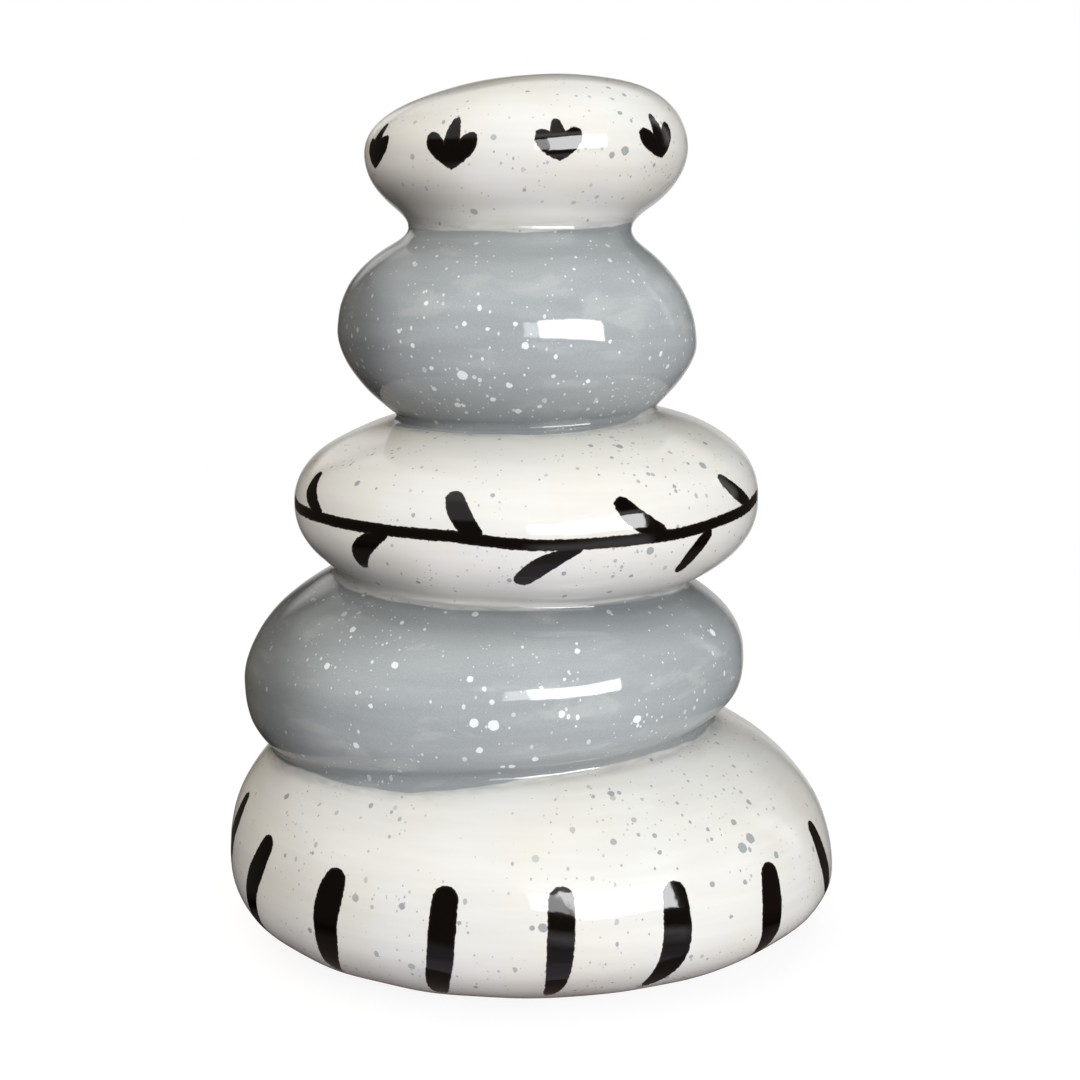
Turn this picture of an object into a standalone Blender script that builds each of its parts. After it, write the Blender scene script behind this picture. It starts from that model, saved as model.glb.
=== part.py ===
"""A ceramic cairn: five flat pebbles stacked into one tower, cast and fired as a single piece.

Each pebble is a squashed, slightly lopsided round. Where two of them meet, their skins run together in a
short concave neck, because one skin of clay covers the whole stack. A function says how far any place is
from the clay, and the surface is found from it ring by ring, from the edge of the flat foot to the crown.
"""

import math
from collections import namedtuple

import bmesh
import bpy
import numpy as np

MM = 0.001

# The stones' plan is wider (along X) than it is deep (along Y), and a little squarer than an ellipse.
DEPTH_TO_WIDTH = 0.95
PLAN_FULLNESS = 2.1

# centre_x, centre_y, centre_z, half_width, rise, drop, lean_above and lean_below are in millimetres.
# rise and drop are the heights of the stone above and below its centre.
# tilt lifts the right end and nod lifts the back, both in degrees.
# full_above and full_below are the exponents of the side's curve: 2 is an ellipse, and more is squarer.
# wedge is the share by which the right end is thicker, and bias the share by which it is squarer.
# The leans say how far the crown and the underside have slid to the right of the centre.
Stone = namedtuple(
    "Stone",
    "centre_x centre_y centre_z half_width rise drop tilt nod "
    "full_above full_below wedge bias lean_above lean_below",
)
BASE = Stone(0, 0, 24.5, 86, 48, 30, -2, 0, 2.3, 2.3, -0.04, -0.13, 9.5, -1)
LOWER_GREY = Stone(-10.5, -0.5, 79.5, 70.5, 37, 29, 3.5, -2.5, 1.85, 2.85, -0.09, 0.02, -0.5, -1.5)
MIDDLE = Stone(-1.5, -1.5, 125.5, 64.5, 26, 28, 0.5, 3, 2.35, 2.2, 0.03, 0, 3, -1.5)
UPPER_GREY = Stone(-4, -0.5, 169, 49.5, 34, 34.5, -3, -5, 2.2, 1.65, 0.15, -0.11, -0.5, -0.5)
TOP = Stone(-1.5, 0.5, 219.5, 44, 20.5, 25, 1.5, -0.5, 2.2, 2, 0.04, -0.05, 6, -0.5)
STONES = (BASE, LOWER_GREY, MIDDLE, UPPER_GREY, TOP)

# How far from a crease the clay starts to fill it, for each neck from the lowest up, in millimetres.
NECK_FILLETS = (4, 4, 3, 9.5)
# How deep in the base the floor has to cut for the foot to be flat there, in millimetres.
FOOT_ROUND = 2

COLUMNS = 60  # faces round the tower
BASE_RINGS = 15  # rows of faces from the foot's edge to the first neck
STONE_RINGS = 12  # rows of faces from one neck to the next
CROWN_RINGS = 13  # rows of faces from the last neck to the crown
CROWDING = 0.55  # how much closer than the average the rows are at a neck

CLAY_WHITE = (0.80, 0.79, 0.76, 1.0)


def to_stone(stone, points):
    """Points from the tower's frame into a stone's own, which is centred, level and without its leans."""
    tilt, nod = math.radians(stone.tilt), math.radians(stone.nod)
    x, y, z = np.moveaxis(points - np.array(stone[:3]), -1, 0)
    y, z = y * math.cos(nod) + z * math.sin(nod), z * math.cos(nod) - y * math.sin(nod)
    x, z = x * math.cos(tilt) + z * math.sin(tilt), z * math.cos(tilt) - x * math.sin(tilt)
    height = np.clip(z / np.where(z > 0, stone.rise, stone.drop), -1, 1)
    return x - np.where(z > 0, stone.lean_above, stone.lean_below) * height**2, y, z


def stone_distance(stone, points):
    """Millimetres from the stone's skin along the line to its centre: less than 0 inside it."""
    x, y, z = to_stone(stone, points)
    towards_right = x / np.maximum(np.hypot(x, y / DEPTH_TO_WIDTH), 1e-9)
    fullness = np.where(z > 0, stone.full_above, stone.full_below) * (1 + stone.bias * towards_right)
    height = np.where(z > 0, stone.rise, stone.drop) * (1 + stone.wedge * x / stone.half_width)
    plan = np.abs(x / stone.half_width) ** PLAN_FULLNESS
    plan += np.abs(y / (stone.half_width * DEPTH_TO_WIDTH)) ** PLAN_FULLNESS
    size = plan ** (fullness / PLAN_FULLNESS) + np.abs(z / np.maximum(height, 1)) ** fullness
    return np.sqrt(x**2 + y**2 + z**2) * (1 - 1 / np.maximum(size ** (1 / fullness), 1e-6))


def melt(a, b, width):
    """The smaller of two distances, rounded off where they are within width of each other."""
    overlap = np.maximum(width - np.abs(a - b), 0)
    return np.minimum(a, b) - overlap**2 / (4 * width)


def clay_distance(points):
    """Millimetres from the skin of the whole tower, with its necks and its flat foot."""
    distance = stone_distance(BASE, points)
    for stone, fillet in zip(STONES[1:], NECK_FILLETS):
        distance = melt(distance, stone_distance(stone, points), fillet)
    return -melt(-distance, points[..., 2], FOOT_ROUND)


def flat_foot(points):
    """Less than 0 where a place on the floor is under the flat of the foot."""
    return stone_distance(BASE, points) + FOOT_ROUND


def out_to_skin(origins, directions, distance=clay_distance):
    """The first place on each ray, from its origin to twice its direction's length, with a distance of 0."""
    steps = np.linspace(0, 2, 81)
    rays = origins[..., None, :] + steps[:, None] * directions[..., None, :]
    first = np.argmax(distance(rays) > 0, axis=-1)
    near, far = steps[first - 1], steps[first]
    for _ in range(18):
        middle = (near + far) / 2
        outside = distance(origins + middle[..., None] * directions) > 0
        near, far = np.where(outside, near, middle), np.where(outside, middle, far)
    return origins + near[..., None] * directions


def level_ways(azimuths, stone):
    """One level direction for each azimuth, as long as the stone reaches that way."""
    ways = np.stack([np.cos(azimuths), DEPTH_TO_WIDTH * np.sin(azimuths), 0 * azimuths], axis=-1)
    return ways * stone.half_width


def neck(lower, upper, azimuths):
    """The ring where the tower is narrowest between two stones, with one point for each azimuth."""
    heights = np.linspace(lower.centre_z, upper.centre_z, 121)
    origins = np.zeros((len(azimuths), len(heights), 3))
    origins[..., 0] = (lower.centre_x + upper.centre_x) / 2
    origins[..., 1] = (lower.centre_y + upper.centre_y) / 2
    origins[..., 2] = heights
    ways = np.broadcast_to(level_ways(azimuths, lower)[:, None, :], origins.shape)
    skin = out_to_skin(origins, ways)
    narrowest = np.linalg.norm(skin - origins, axis=-1).argmin(axis=1)
    return skin[np.arange(len(azimuths)), narrowest]


def reach(stone):
    """How far the stone reaches from its centre along X, Y and Z, its rise and drop taken together."""
    return np.array([stone.half_width, stone.half_width * DEPTH_TO_WIDTH, (stone.rise + stone.drop) / 2])


def seen_at(stone, points):
    """The azimuth and latitude of each point from the stone's centre, as if it were a ball."""
    x, y, z = np.moveaxis((points - np.array(stone[:3])) / reach(stone), -1, 0)
    return np.unwrap(np.arctan2(y, x)), np.arctan2(z, np.hypot(x, y))


def skin_at(stone, azimuth, latitude):
    """The skin's points that the stone's centre sees at these angles: the inverse of seen_at."""
    level = np.cos(latitude)
    ways = np.stack([level * np.cos(azimuth), level * np.sin(azimuth), np.sin(latitude)], axis=-1)
    return out_to_skin(np.broadcast_to(np.array(stone[:3], float), ways.shape), ways * reach(stone))


def rings_over(stone, low, high, count, waves=2):
    """Rings over a stone's side, from the ring low up to the ring high, with both of them.

    Their latitude and azimuth, seen from the stone's centre, go evenly from low's to high's, less a
    sine that crowds them together: at both ends when it has 2 half waves, and at low when it has 1.
    """
    azimuth_low, latitude_low = seen_at(stone, low)
    azimuth_high, latitude_high = seen_at(stone, high)
    even = np.linspace(0, 1, count + 1)
    share = (even - CROWDING * np.sin(waves * math.pi * even) / (waves * math.pi))[:, None]
    azimuth = azimuth_low + share * (azimuth_high - azimuth_low)
    return list(skin_at(stone, azimuth, latitude_low + share * (latitude_high - latitude_low)))


def tower_rings():
    """The rings of the tower's skin in millimetres, from the edge of its foot up to its crown's point."""
    azimuths = np.linspace(0, 2 * math.pi, COLUMNS, endpoint=False)
    foot = out_to_skin(np.zeros((COLUMNS, 3)), level_ways(azimuths, BASE), flat_foot)
    necks = [neck(lower, upper, azimuths) for lower, upper in zip(STONES, STONES[1:])]
    rings = rings_over(BASE, foot, necks[0], BASE_RINGS)
    for stone, low, high in zip(STONES[1:-1], necks, necks[1:]):
        rings += rings_over(stone, low, high, STONE_RINGS)[1:]
    speck = np.array(TOP[:3]) + [0, 0, TOP.rise] + (necks[-1] - necks[-1].mean(axis=0)) * 1e-6
    return rings + rings_over(TOP, necks[-1], speck, CROWN_RINGS, waves=1)[1:]


def add_ring(mesh, ring):
    """A ring of points as a closed loop of edges."""
    corners = [mesh.verts.new(point * MM) for point in ring]
    return [mesh.edges.new(pair) for pair in zip(corners, corners[1:] + corners[:1])]


def cairn_mesh():
    """The whole skin: rings bridged one to the next, a flat foot, and triangles up to the crown's point."""
    *rings, crown = tower_rings()
    mesh = bmesh.new()
    loops = [add_ring(mesh, ring) for ring in rings]
    for lower, upper in zip(loops, loops[1:]):
        bmesh.ops.bridge_loops(mesh, edges=lower + upper)
    bmesh.ops.contextual_create(mesh, geom=loops[0])
    point = mesh.verts.new(crown.mean(axis=0) * MM)
    for edge in loops[-1]:
        mesh.faces.new((*edge.verts, point))
    bmesh.ops.recalc_face_normals(mesh, faces=mesh.faces)
    data = bpy.data.meshes.new("stone_cairn")
    mesh.to_mesh(data)
    mesh.free()
    return data


def glazed_ceramic():
    """White earthenware under a clear, glossy glaze."""
    material = bpy.data.materials.new("glazed_ceramic")
    material.use_nodes = True
    shader = material.node_tree.nodes["Principled BSDF"]
    shader.inputs["Base Color"].default_value = CLAY_WHITE
    shader.inputs["Roughness"].default_value = 0.08
    shader.inputs["Metallic"].default_value = 0
    return material


def main():
    for old in list(bpy.data.objects):
        bpy.data.objects.remove(old)
    data = cairn_mesh()
    data.materials.append(glazed_ceramic())
    data.shade_smooth()
    data.set_sharp_from_angle(angle=math.radians(40))
    bpy.context.scene.collection.objects.link(bpy.data.objects.new("stone_cairn", data))


main()
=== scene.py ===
# %% [markdown]
# # A glazed ceramic cairn
#
# The object is a tower of five flat pebbles, about 240 mm high. It looks like stacked stones, but it
# is one hollow piece: liquid clay was poured into a plaster mould, and the casting was fired, painted
# with coloured glazes and black brush strokes, splashed with fine drops, and fired again to a gloss.
#
# So this lesson makes one skin and one finish. The skin is a surface worked out from a formula. The
# paint is measured on that skin in millimetres, so its edges stay crisp from every side. The packed
# model gives the frame that everything has to fit.

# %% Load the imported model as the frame
import math
from collections import namedtuple

import bpy
import numpy as np
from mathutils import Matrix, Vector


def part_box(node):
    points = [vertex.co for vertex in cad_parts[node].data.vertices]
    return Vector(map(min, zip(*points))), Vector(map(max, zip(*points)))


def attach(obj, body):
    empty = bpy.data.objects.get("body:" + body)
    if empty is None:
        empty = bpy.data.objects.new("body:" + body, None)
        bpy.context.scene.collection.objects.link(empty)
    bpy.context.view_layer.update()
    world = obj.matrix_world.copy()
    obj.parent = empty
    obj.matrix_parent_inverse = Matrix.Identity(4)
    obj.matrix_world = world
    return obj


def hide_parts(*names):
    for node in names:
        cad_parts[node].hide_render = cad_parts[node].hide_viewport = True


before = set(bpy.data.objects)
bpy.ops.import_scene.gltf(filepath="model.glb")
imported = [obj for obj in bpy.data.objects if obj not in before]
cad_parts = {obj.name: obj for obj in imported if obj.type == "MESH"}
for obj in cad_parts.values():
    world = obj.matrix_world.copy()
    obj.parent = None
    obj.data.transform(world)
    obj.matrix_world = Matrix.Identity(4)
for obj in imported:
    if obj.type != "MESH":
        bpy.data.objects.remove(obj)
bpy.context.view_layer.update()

MM = 0.001
cad_low, cad_high = (np.array(corner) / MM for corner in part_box("stone_cairn"))
print("The CAD model measures", (cad_high - cad_low).round(1), "mm")

# %% [markdown]
# ## The camera
#
# The piece is seen from the front, from a little above its cap, and from about half a metre away. A
# 65 mm lens on a 36 mm wide sensor gives a mild perspective: near stones look wider, and the
# tops of the lower stones are seen. The camera comes first, because it also says how fine a detail
# can be and still show.

# %% Set the camera
CAMERA_BEFORE = 538.2  # mm in front of the tower's axis
CAMERA_ASIDE = 2.3  # mm to its right
CAMERA_HEIGHT = 209.9  # mm above the foot
CAMERA_PITCH = 10.24  # degrees below level
LENS, SENSOR = 65, 36  # mm
PIXELS_ACROSS = 1080  # in the finished frame


def put(name, data):
    """A new object in the scene."""
    thing = bpy.data.objects.new(name, data)
    bpy.context.scene.collection.objects.link(thing)
    return thing


camera_data = bpy.data.cameras.new("camera")
camera_data.sensor_width, camera_data.lens = SENSOR, LENS
camera = put("camera", camera_data)
camera.location = (CAMERA_ASIDE * MM, -CAMERA_BEFORE * MM, CAMERA_HEIGHT * MM)
camera.rotation_euler = (math.radians(90 - CAMERA_PITCH), 0, 0)
bpy.context.scene.camera = camera
pixels_per_mm = PIXELS_ACROSS * LENS / SENSOR / CAMERA_BEFORE
print(f"One millimetre on the front of the tower is {pixels_per_mm:.1f} pixels")

# %% [markdown]
# ## The five stones
#
# Each stone is a squashed ball. Its plan is nearly an ellipse, and its side is a rounder or squarer
# curve above and below its widest line. A few more numbers make it a pebble and not a lens: it can be
# thicker or squarer at one end, and its crown can sit off its centre. The numbers are those of the
# CAD model, so the skin made here has the same size and place as the solid that it dresses.

# %% The stones' sizes
DEPTH_TO_WIDTH = 0.95  # every stone's depth from front to back, as a share of its width
PLAN_FULLNESS = 2.1  # the exponent of the plan's curve

# Lengths are in millimetres, and tilt and nod in degrees. rise and drop are measured from the centre.
# A fullness is the exponent of the side's curve: 2 is an ellipse, and more is squarer. wedge and bias
# are the shares by which the right end is thicker and squarer, and the leans slide crown and underside.
Stone = namedtuple(
    "Stone",
    "centre_x centre_y centre_z half_width rise drop tilt nod "
    "full_above full_below wedge bias lean_above lean_below",
)
BASE = Stone(0, 0, 24.5, 86, 48, 30, -2, 0, 2.3, 2.3, -0.04, -0.13, 9.5, -1)
LOWER_GREY = Stone(-10.5, -0.5, 79.5, 70.5, 37, 29, 3.5, -2.5, 1.85, 2.85, -0.09, 0.02, -0.5, -1.5)
MIDDLE = Stone(-1.5, -1.5, 125.5, 64.5, 26, 28, 0.5, 3, 2.35, 2.2, 0.03, 0, 3, -1.5)
UPPER_GREY = Stone(-4, -0.5, 169, 49.5, 34, 34.5, -3, -5, 2.2, 1.65, 0.15, -0.11, -0.5, -0.5)
TOP = Stone(-1.5, 0.5, 219.5, 44, 20.5, 25, 1.5, -0.5, 2.2, 2, 0.04, -0.05, 6, -0.5)
STONES = (BASE, LOWER_GREY, MIDDLE, UPPER_GREY, TOP)
print("Stones from the foot up are", [2 * stone.half_width for stone in STONES], "mm wide")

# %% How far a place is from one stone
def stone_distance(stone, points):
    """Millimetres from the stone's skin, along the line to its centre, and less than 0 inside it.

    In the stone's own frame, with r the level distance in half widths and h the height in rises or
    drops, the skin is where r**f + h**f = 1, and f is the fullness. The height is measured after the
    wedge, the fullness after the bias, and the sideways place after the lean, which goes with h squared.
    """
    tilt, nod = math.radians(stone.tilt), math.radians(stone.nod)
    x, y, z = np.moveaxis(points - np.array(stone[:3]), -1, 0)
    y, z = y * math.cos(nod) + z * math.sin(nod), z * math.cos(nod) - y * math.sin(nod)
    x, z = x * math.cos(tilt) + z * math.sin(tilt), z * math.cos(tilt) - x * math.sin(tilt)
    above = z > 0
    height = np.where(above, stone.rise, stone.drop)
    x = x - np.where(above, stone.lean_above, stone.lean_below) * np.clip(z / height, -1, 1) ** 2
    towards_right = x / np.maximum(np.hypot(x, y / DEPTH_TO_WIDTH), 1e-9)
    fullness = np.where(above, stone.full_above, stone.full_below) * (1 + stone.bias * towards_right)
    height = height * (1 + stone.wedge * x / stone.half_width)
    plan = np.abs(x / stone.half_width) ** PLAN_FULLNESS
    plan += np.abs(y / (stone.half_width * DEPTH_TO_WIDTH)) ** PLAN_FULLNESS
    size = plan ** (fullness / PLAN_FULLNESS) + np.abs(z / np.maximum(height, 1)) ** fullness
    return np.sqrt(x**2 + y**2 + z**2) * (1 - 1 / np.maximum(size ** (1 / fullness), 1e-6))


beside = stone_distance(BASE, np.array([100, 0, BASE.centre_z]))
print("A place 100 mm to the right of the base's centre is", beside.round(1), "mm outside it")

# %% [markdown]
# ## One skin over all five
#
# In a slip casting the clay lies in one even coat on the mould, so the crease between two stones is
# filled, and the glaze pools there and fills it a little more. A union of five meshes would leave a
# sharp crease, and a voxel remesh would lose it in steps. Here the distances are joined instead: where
# two of them are nearly equal, the smaller is lowered a little, and that makes a fillet of a set width.

# %% The distance from the whole tower
NECK_FILLETS = (4, 4, 3, 9.5)  # mm, how far from each crease the clay starts to fill it, lowest first
FOOT_ROUND = 2  # mm of the base that the floor cuts off, with a rounded edge
LOOKS, HALVINGS = 41, 22  # places looked at along a ray, and then halvings of the step that leaves the clay


def melt(a, b, width):
    """The smaller of two distances, less (width - |a - b|)**2 / (4 width) where they are that close."""
    overlap = np.maximum(width - np.abs(a - b), 0)
    return np.minimum(a, b) - overlap**2 / (4 * width)


def clay_distance(points):
    """Millimetres from the skin of the whole tower: its stones, their necks and the flat foot."""
    distance = stone_distance(BASE, points)
    for stone, fillet in zip(STONES[1:], NECK_FILLETS):
        distance = melt(distance, stone_distance(stone, points), fillet)
    return -melt(-distance, points[..., 2], FOOT_ROUND)


def out_to_skin(origins, directions, distance=clay_distance, longest=2.0):
    """The first place from each origin, along its direction, where the distance is 0.

    A few looks along the ray find the step that leaves the clay, and halving that step finds the skin.
    """
    steps = np.linspace(0, longest, LOOKS)
    rays = origins[..., None, :] + steps[:, None] * directions[..., None, :]
    first = np.maximum(np.argmax(distance(rays) > 0, axis=-1), 1)
    near, far = steps[first - 1], steps[first]
    for _ in range(HALVINGS):
        middle = (near + far) / 2
        outside = distance(origins + middle[..., None] * directions) > 0
        near, far = np.where(outside, near, middle), np.where(outside, middle, far)
    return origins + near[..., None] * directions


front = out_to_skin(np.array(MIDDLE[:3], float), np.array([0.0, -MIDDLE.half_width, 0]))
print("The middle stone's front is at", front.round(2), "mm")

# %% [markdown]
# ## The rings between the stones
#
# The grid that covers the tower needs a clear edge for each stone, because the glaze changes there.
# That edge is the crease: the ring where the two stones' own skins would cross. It is found by halving
# for every direction at once, and then pushed out level until it lies on the filled skin.

# %% Find the four necks and the foot's edge
COLUMNS = 328  # faces round the tower
NECK_HALVINGS = 24


def level_ways(azimuths, stone):
    """A level vector for each azimuth, which goes from the stone's axis to its widest line."""
    ways = np.stack([np.cos(azimuths), DEPTH_TO_WIDTH * np.sin(azimuths), 0 * azimuths], axis=-1)
    return ways * stone.half_width


def neck_ring(lower, upper, azimuths):
    """The crease between two stones, as one point on the filled skin for each azimuth.

    For a height, the upper stone's skin is found straight out from the axis. Where that place is still
    inside the lower stone, the crease is higher up, and otherwise it is lower down.
    """
    ways = level_ways(azimuths, lower)
    axis = np.zeros_like(ways) + (np.array(lower[:3]) + np.array(upper[:3])) / 2
    low, high = (np.full(len(azimuths), float(stone.centre_z)) for stone in (lower, upper))
    for _ in range(NECK_HALVINGS):
        axis[:, 2] = (low + high) / 2
        crease = out_to_skin(axis, ways, lambda points: stone_distance(upper, points))
        buried = stone_distance(lower, crease) < 0
        low, high = np.where(buried, axis[:, 2], low), np.where(buried, high, axis[:, 2])
    return out_to_skin(crease, ways, longest=0.2)


azimuths = np.linspace(0, 2 * math.pi, COLUMNS, endpoint=False) + math.pi / 2  # the seam is at the back
necks = [neck_ring(lower, upper, azimuths) for lower, upper in zip(STONES, STONES[1:])]
foot_edge = out_to_skin(
    np.zeros((COLUMNS, 3)), level_ways(azimuths, BASE),
    distance=lambda points: stone_distance(BASE, points) + FOOT_ROUND,
)
for ring in necks:
    print("A neck from", ring[:, 2].min().round(1), "to", ring[:, 2].max().round(1), "mm above the foot")

# %% [markdown]
# ## Rows over each stone
#
# Between two rings, a stone's side is a surface of two parameters: the azimuth, and how far up it is
# from one ring to the other. Both are turned into a direction from the stone's centre, and the skin is
# found along it. The rows are close together at the necks, where the skin turns quickly.

# %% Cover the tower with a grid
ROWS = (74, 60, 60, 48, 44)  # rows of faces on each stone, from the base up
CROWDING = 0.6  # how much closer than the average the rows are at a neck
CAP_CROWDING = 0.35  # the same for the top stone, whose other end is the crown


def reach(stone):
    """How far the stone reaches from its centre along X, Y and Z, its rise and drop taken together."""
    return np.array([stone.half_width, stone.half_width * DEPTH_TO_WIDTH, (stone.rise + stone.drop) / 2])


def seen_at(stone, points):
    """The azimuth and latitude of each point from the stone's centre, as if it were a ball."""
    x, y, z = np.moveaxis((points - np.array(stone[:3])) / reach(stone), -1, 0)
    return np.unwrap(np.arctan2(y, x)), np.arctan2(z, np.hypot(x, y))


def skin_at(stone, azimuth, latitude):
    """The skin's points that the stone's centre sees at these angles: the inverse of seen_at."""
    level = np.cos(latitude)
    ways = np.stack([level * np.cos(azimuth), level * np.sin(azimuth), np.sin(latitude)], axis=-1)
    return out_to_skin(np.broadcast_to(np.array(stone[:3], float), ways.shape), ways * reach(stone))


def side_rows(stone, low, high, count, waves=2, crowding=CROWDING):
    """The stone's side as a grid of rows and columns, from the ring low to the ring high.

    Azimuth and latitude go evenly from low's to high's, less a sine that crowds the rows: at both
    ends when it has 2 half waves, and at low alone when it has 1.
    """
    azimuth_low, latitude_low = seen_at(stone, low)
    azimuth_high, latitude_high = seen_at(stone, high)
    even = np.linspace(0, 1, count + 1)
    share = (even - crowding * np.sin(waves * math.pi * even) / (waves * math.pi))[:, None]
    azimuth = azimuth_low + share * (azimuth_high - azimuth_low)
    return skin_at(stone, azimuth, latitude_low + share * (latitude_high - latitude_low))


speck = np.array(TOP[:3]) + [0, 0, TOP.rise] + (necks[-1] - necks[-1].mean(axis=0)) * 1e-6
edges = [foot_edge, *necks, speck]
sides = [
    side_rows(stone, low, high, count, *((1, CAP_CROWDING) if stone is TOP else (2, CROWDING)))
    for stone, low, high, count in zip(STONES, edges, edges[1:], ROWS)
]
grid = np.concatenate([sides[0]] + [side[1:] for side in sides[1:]])
crown, grid = grid[-1].mean(axis=0), grid[:-1]
neck_rows = np.cumsum(ROWS)[:-1]
print("The grid has", grid.shape[0], "rows of", grid.shape[1], "points, and the crown is at", crown.round(2))

# %% [markdown]
# ## The hand in the surface
#
# The mould was taken from a model shaped by hand, so its stones aren't quite even: they roll by a
# few tenths of a millimetre over a few centimetres, and the brushed glaze left shallow level
# ridges. That is too little to see as a shape, but it bends the edges of every reflection. A sum of
# sine waves in space gives both: long ones in all directions, and short ones that run up the tower.

# %% Work out the relief
waves_chance = np.random.default_rng(11)
ROLLS, ROLL_LENGTH, ROLL_HEIGHT = 14, (20, 38), 0.035  # how many, mm from crest to crest, mm each
RIDGES, RIDGE_LENGTH, RIDGE_HEIGHT = 18, (5, 10), 0.004
RIDGE_SLANT = 0.08  # how far a ridge strays from level
FOOT_CALM = 4.0  # mm above the floor where the relief starts


def unit(vectors):
    """Vectors scaled to a length of 1."""
    return vectors / np.linalg.norm(vectors, axis=-1, keepdims=True)


roll_ways = unit(waves_chance.normal(size=(ROLLS, 3)))
ridge_ways = unit(waves_chance.normal(size=(RIDGES, 3)) * (RIDGE_SLANT, RIDGE_SLANT, 0) + (0, 0, 1))
wave_ways = np.concatenate([
    roll_ways / waves_chance.uniform(*ROLL_LENGTH, ROLLS)[:, None],
    ridge_ways / waves_chance.uniform(*RIDGE_LENGTH, RIDGES)[:, None],
]) * 2 * math.pi
wave_heights = np.repeat([ROLL_HEIGHT, RIDGE_HEIGHT], [ROLLS, RIDGES])
wave_starts = waves_chance.uniform(0, 2 * math.pi, ROLLS + RIDGES)


def relief(points):
    """Millimetres: the sum over all waves of a wave's height times the sine of the way along it."""
    return np.sin(points @ wave_ways.T + wave_starts) @ wave_heights


def outwards(grid):
    """The skin's normals: the step to the next column, crossed with the step to the next row."""
    across = np.roll(grid, -1, axis=1) - np.roll(grid, 1, axis=1)
    return unit(np.cross(across, np.gradient(grid, axis=0)))


rise = relief(grid)
highest = rise.max()  # taken off, so that the skin never stands out of the model's box
calm = np.clip(grid[..., 2] / FOOT_CALM, 0, 1)
formed = grid + outwards(grid) * ((rise - highest) * calm)[..., None]
formed_crown = crown + [0, 0, relief(crown) - highest]
print("The relief is", (rise.max() - rise.min()).round(2), "mm from its lowest to its highest")

# %% [markdown]
# ## From grid to mesh
#
# Each cell of the grid is one square face, and the last row is closed on the crown by triangles. The
# foot is one flat face. The columns meet without a gap, so the skin is closed, and one UV square is
# laid out over it as a neat grid: across it goes round the tower, and up it goes along the skin.

# %% Build the mesh
def skin_mesh(name, grid, crown):
    """A closed mesh from rows of points, with one point on top, and its faces pointing outwards."""
    rows, columns = grid.shape[:2]
    index = np.arange(rows * columns).reshape(rows, columns)
    after = np.roll(index, -1, axis=1)
    cells = np.stack([index[:-1], after[:-1], after[1:], index[1:]], axis=-1).reshape(-1, 4)
    lid = [(a, b, rows * columns) for a, b in zip(index[-1], after[-1])]
    mesh = bpy.data.meshes.new(name)
    points = np.concatenate([grid.reshape(-1, 3), crown[None]]) * MM
    mesh.from_pydata(points, [], cells.tolist() + lid + [index[0, ::-1].tolist()])
    mesh.shade_smooth()
    mesh.polygons[-1].use_smooth = False
    return mesh


steps_up = np.linalg.norm(np.diff(grid, axis=0), axis=-1)
up_the_skin = np.concatenate([np.zeros((1, COLUMNS)), np.cumsum(steps_up, axis=0)])
mesh = skin_mesh("stone_cairn_skin", formed, formed_crown)
skin = put("stone_cairn_skin", mesh)
print("The skin has", sum(len(face.vertices) - 2 for face in mesh.polygons), "triangles")

# %% [markdown]
# ## Strokes of black
#
# The black was painted with a round brush on the dry glaze: short bars round the base, a vine round
# the middle stone and small buds round the cap. Every stroke is a chain of discs along a path on the
# skin, and each point of the mesh keeps how deep inside a stroke it lies, in millimetres. The material
# then cuts that number at 0, so an edge is as sharp as the render allows, and nothing is stretched.

# %% Lay a stroke on a stone
NEAREST = 9.0  # mm, past which a distance tells the material nothing


def on_stone(stone, path):
    """Places on the skin from (azimuth, latitude) in degrees: azimuth 0 is in front and 90 to the right."""
    azimuth, latitude = np.radians(np.array(path, float)).T
    return skin_at(stone, azimuth - math.pi / 2, latitude)


def curve_through(path, count=10):
    """Points along a smooth curve: between two points it is a cubic whose ends point along the neighbours."""
    path = np.array(path, float)
    slopes = np.gradient(path, axis=0)
    t = np.linspace(0, 1, count)[:, None]
    of_a, of_slope_a = (1 + 2 * t) * (1 - t) ** 2, t * (1 - t) ** 2
    of_b, of_slope_b = t**2 * (3 - 2 * t), t**2 * (t - 1)
    pieces = [
        of_a * a + of_slope_a * slope_a + of_b * b + of_slope_b * slope_b
        for a, b, slope_a, slope_b in zip(path, path[1:], slopes, slopes[1:])
    ]
    return np.concatenate([pieces[0]] + [piece[1:] for piece in pieces[1:]])


def stroke_depth(points, path, widths):
    """How deep in a stroke each point is, in mm, and how far along the stroke, from 0 to 1.

    For each piece of the path the nearest place on it is found, and the depth is half the brush's
    width there less the distance to it. The deepest piece counts.
    """
    depth, share = np.full(points.shape[:-1], -NEAREST), np.zeros(points.shape[:-1])
    pieces = len(path) - 1
    for number, (a, b, wide_a, wide_b) in enumerate(zip(path, path[1:], widths, widths[1:])):
        along = b - a
        t = np.clip((points - a) @ along / (along @ along), 0, 1)
        away = np.linalg.norm(points - a - t[..., None] * along, axis=-1)
        here = (wide_a + t * (wide_b - wide_a)) / 2 - away
        share = np.where(here > depth, (number + t) / pieces, share)
        depth = np.maximum(depth, here)
    return depth, share


stone_rows = [slice(low, high + 1) for low, high in zip([0, *neck_rows], [*neck_rows, len(grid) - 1])]
first_strokes = np.full(grid.shape[:2], -NEAREST)  # bars, the vine's stem and the buds' side petals
last_strokes = np.full(grid.shape[:2], -NEAREST)  # leaves and middle petals, laid over the others
dryness = np.zeros(grid.shape[:2])  # 1 where the brush had run quite dry


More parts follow.
